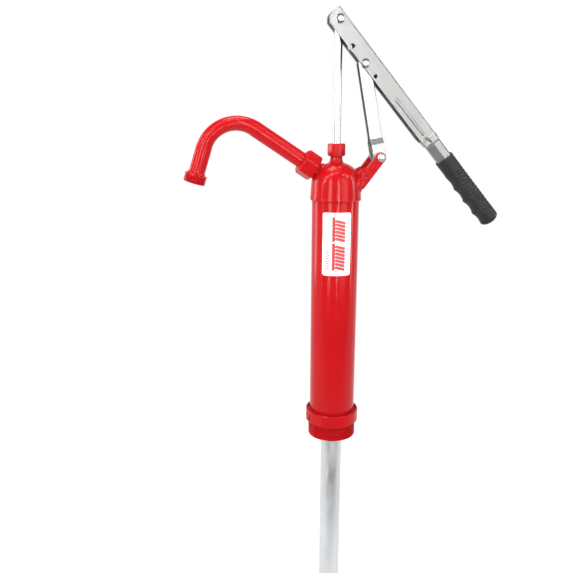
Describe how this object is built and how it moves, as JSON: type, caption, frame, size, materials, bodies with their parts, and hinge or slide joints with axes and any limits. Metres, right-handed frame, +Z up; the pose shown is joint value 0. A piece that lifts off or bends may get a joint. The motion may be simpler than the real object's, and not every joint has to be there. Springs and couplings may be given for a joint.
{
  "type": "fluid transfer pump",
  "caption": "Hand-operated lever-action drum pump with a curved swivelling spout, a bung adapter and a telescoping suction tube.",
  "frame": {"origin": "pump axis at the underside of the collar, where it seats on the drum bung", "axes": "+Z up along the pump axis, +X towards the lever, -X towards the spout"},
  "size_m": [0.3869, 0.0674, 0.8611],
  "materials": {
    "red_paint": "gloss",
    "steel": "satin",
    "brass": "satin",
    "rubber": "matte",
    "grip_rubber": "satin",
    "packing": "matte",
    "leather": "matte",
    "strainer_plastic": "matte",
    "label": "gloss"
  },
  "bodies": {
    "housing": {"base_casting": "red_paint", "bung_gasket": "rubber", "barrel_seal": "rubber", "barrel": "red_paint", "label": "label", "head_gasket": "rubber", "head_casting": "red_paint", "gland_packing": "packing", "gland_washer": "brass", "packing_nut": "red_paint", "fulcrum_ear_front": "red_paint", "fulcrum_ear_rear": "red_paint", "fulcrum_pin": "steel", "fulcrum_clip": "steel", "foot_valve_cage": "brass", "upper_tube": "steel", "upper_collar": "steel", "upper_seal": "rubber", "union_gasket": "rubber", "union_nut": "red_paint"},
    "foot_valve_body": {"foot_valve": "brass"},
    "middle_section": {"middle_tube": "steel", "middle_collar": "steel", "middle_seal": "rubber"},
    "lower_section": {"lower_tube": "steel", "strainer": "strainer_plastic"},
    "rod": {"piston_rod": "steel", "piston_body": "brass", "piston_cup": "leather", "piston_plate": "brass", "piston_nut": "steel", "valve_stop_clip": "steel"},
    "piston_valve_body": {"piston_valve": "rubber"},
    "lever_body": {"lever": "steel", "grip": "grip_rubber", "rod_pin": "steel", "rod_pin_clip": "steel", "link_pin_ends": "steel", "link_pin_clip": "steel"},
    "link_body": {"link": "steel", "link_pin_shank": "steel"},
    "spout": {"spout_tube": "red_paint", "spout_collar": "red_paint", "spout_tip": "red_paint"}
  },
  "joints": [
    {"name": "handle", "type": "hinge", "parent": "rod", "child": "lever_body", "pos_m": [0, 0, 0.491], "axis": [0, -1, 0], "range_deg": [0, 105.33]},
    {"name": "rod_slide", "type": "slide", "parent": "housing", "child": "rod", "axis": [0, 0, -1], "range_m": [0, 0.0892]},
    {"name": "link_swing", "type": "hinge", "parent": "housing", "child": "link_body", "pos_m": [0.0505, 0, 0.3362], "axis": [0, 1, 0], "range_deg": [0, 4.5]},
    {"name": "piston_valve_lift", "type": "slide", "parent": "rod", "child": "piston_valve_body", "axis": [0, 0, 1], "range_m": [0, 0.0045]},
    {"name": "foot_valve_lift", "type": "slide", "parent": "housing", "child": "foot_valve_body", "axis": [0, 0, 1], "range_m": [0, 0.0045]},
    {"name": "spout_swivel", "type": "hinge", "parent": "housing", "child": "spout", "pos_m": [0, 0, 0.3049], "axis": [-0.8339, 0, 0.5519], "range_deg": [-90, 90]},
    {"name": "middle_tube_slide", "type": "slide", "parent": "housing", "child": "middle_section", "axis": [0, 0, -1], "range_m": [0, 0.26]},
    {"name": "lower_tube_slide", "type": "slide", "parent": "middle_section", "child": "lower_section", "axis": [0, 0, -1], "range_m": [0, 0.26]}
  ],
  "couplings": [
    {"joint": "rod_slide", "follows": "handle", "m_per_rad": 0.048357},
    {"joint": "link_swing", "follows": "handle", "ratio": 0.042127}
  ]
}
